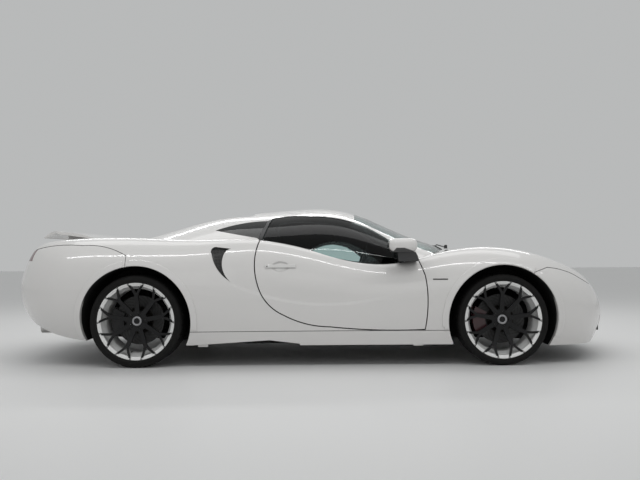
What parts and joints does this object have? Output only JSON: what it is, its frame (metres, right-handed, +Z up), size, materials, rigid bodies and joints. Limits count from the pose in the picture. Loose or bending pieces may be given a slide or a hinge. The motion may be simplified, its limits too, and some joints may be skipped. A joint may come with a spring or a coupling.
{
  "type": "supercar",
  "caption": "Low mid-engined two-seat coupé with opening doors and lids, steered front wheels and split-spoke rims.",
  "frame": {"origin": "on the floor under the middle of the overall length", "axes": "+X towards the nose, +Y towards the car's left, +Z up"},
  "size_m": [4.5611, 2.17, 1.1699],
  "materials": {
    "paint": "gloss",
    "glass": "clear",
    "lamp_clear": "clear",
    "lamp_red": "clear",
    "black_trim": "satin",
    "tub": "satin",
    "engine": "rough",
    "exhaust": "brushed",
    "seat": "satin",
    "tyre": "matte",
    "wheel": "gloss",
    "disc": "machined",
    "knuckle": "satin",
    "arm": "satin"
  },
  "bodies": {
    "car": {"floor_pan": "tub", "front_frame": "tub", "rear_frame": "tub", "engine_block": "engine", "front_bumper": "paint", "fender_left": "paint", "fender_right": "paint", "side_sills": "paint", "quarter_left": "paint", "quarter_right": "paint", "rear_bumper": "paint", "roof_frame": "paint", "fixed_windows": "glass", "headlamps": "lamp_clear", "tail_lamps": "lamp_red", "grilles": "black_trim", "exhaust": "exhaust", "wipers": "black_trim", "dashboard": "black_trim", "seats": "seat", "front_suspension": "arm", "rear_suspension": "arm"},
    "door_left": {"door_left": "paint", "door_window_left": "glass", "door_mirror_left": "paint"},
    "door_right": {"door_right": "paint", "door_window_right": "glass", "door_mirror_right": "paint"},
    "bonnet": {"bonnet": "paint"},
    "engine_cover": {"engine_cover": "paint", "rear_spoiler": "paint"},
    "knuckle_front_left": {"knuckle_front_left": "knuckle"},
    "knuckle_front_right": {"knuckle_front_right": "knuckle"},
    "wheel_front_left": {"tyre_front_left": "tyre", "wheel_front_left": "wheel", "disc_front_left": "disc"},
    "wheel_front_right": {"tyre_front_right": "tyre", "wheel_front_right": "wheel", "disc_front_right": "disc"},
    "wheel_rear_left": {"tyre_rear_left": "tyre", "wheel_rear_left": "wheel", "disc_rear_left": "disc"},
    "wheel_rear_right": {"tyre_rear_right": "tyre", "wheel_rear_right": "wheel", "disc_rear_right": "disc"}
  },
  "joints": [
    {"name": "door_left_hinge", "type": "hinge", "parent": "car", "child": "door_left", "pos_m": [0.74, 0.948, 0.45], "axis": [0, 0, -1], "range_deg": [0, 62]},
    {"name": "door_right_hinge", "type": "hinge", "parent": "car", "child": "door_right", "pos_m": [0.74, -0.948, 0.45], "axis": [0, 0, 1], "range_deg": [0, 62]},
    {"name": "bonnet_hinge", "type": "hinge", "parent": "car", "child": "bonnet", "pos_m": [1.072, 0, 0.812], "axis": [0, -1, 0], "range_deg": [0, 55]},
    {"name": "engine_cover_hinge", "type": "hinge", "parent": "car", "child": "engine_cover", "pos_m": [-0.608, 0, 0.934], "axis": [0, 1, 0], "range_deg": [0, 48]},
    {"name": "steer_left", "type": "hinge", "parent": "car", "child": "knuckle_front_left", "pos_m": [1.34, 0.77, 0.322], "axis": [0, 0, 1], "range_deg": [-30, 30]},
    {"name": "steer_right", "type": "hinge", "parent": "car", "child": "knuckle_front_right", "pos_m": [1.34, -0.77, 0.322], "axis": [0, 0, 1], "range_deg": [-30, 30]},
    {"name": "spin_front_left", "type": "hinge", "parent": "knuckle_front_left", "child": "wheel_front_left", "pos_m": [1.34, 0.835, 0.322], "axis": [0, 1, 0], "continuous": true},
    {"name": "spin_front_right", "type": "hinge", "parent": "knuckle_front_right", "child": "wheel_front_right", "pos_m": [1.34, -0.835, 0.322], "axis": [0, 1, 0], "continuous": true},
    {"name": "spin_rear_left", "type": "hinge", "parent": "car", "child": "wheel_rear_left", "pos_m": [-1.26, 0.825, 0.328], "axis": [0, 1, 0], "continuous": true},
    {"name": "spin_rear_right", "type": "hinge", "parent": "car", "child": "wheel_rear_right", "pos_m": [-1.26, -0.825, 0.328], "axis": [0, 1, 0], "continuous": true}
  ],
  "couplings": [
    {"joint": "steer_right", "follows": "steer_left", "ratio": 1}
  ]
}
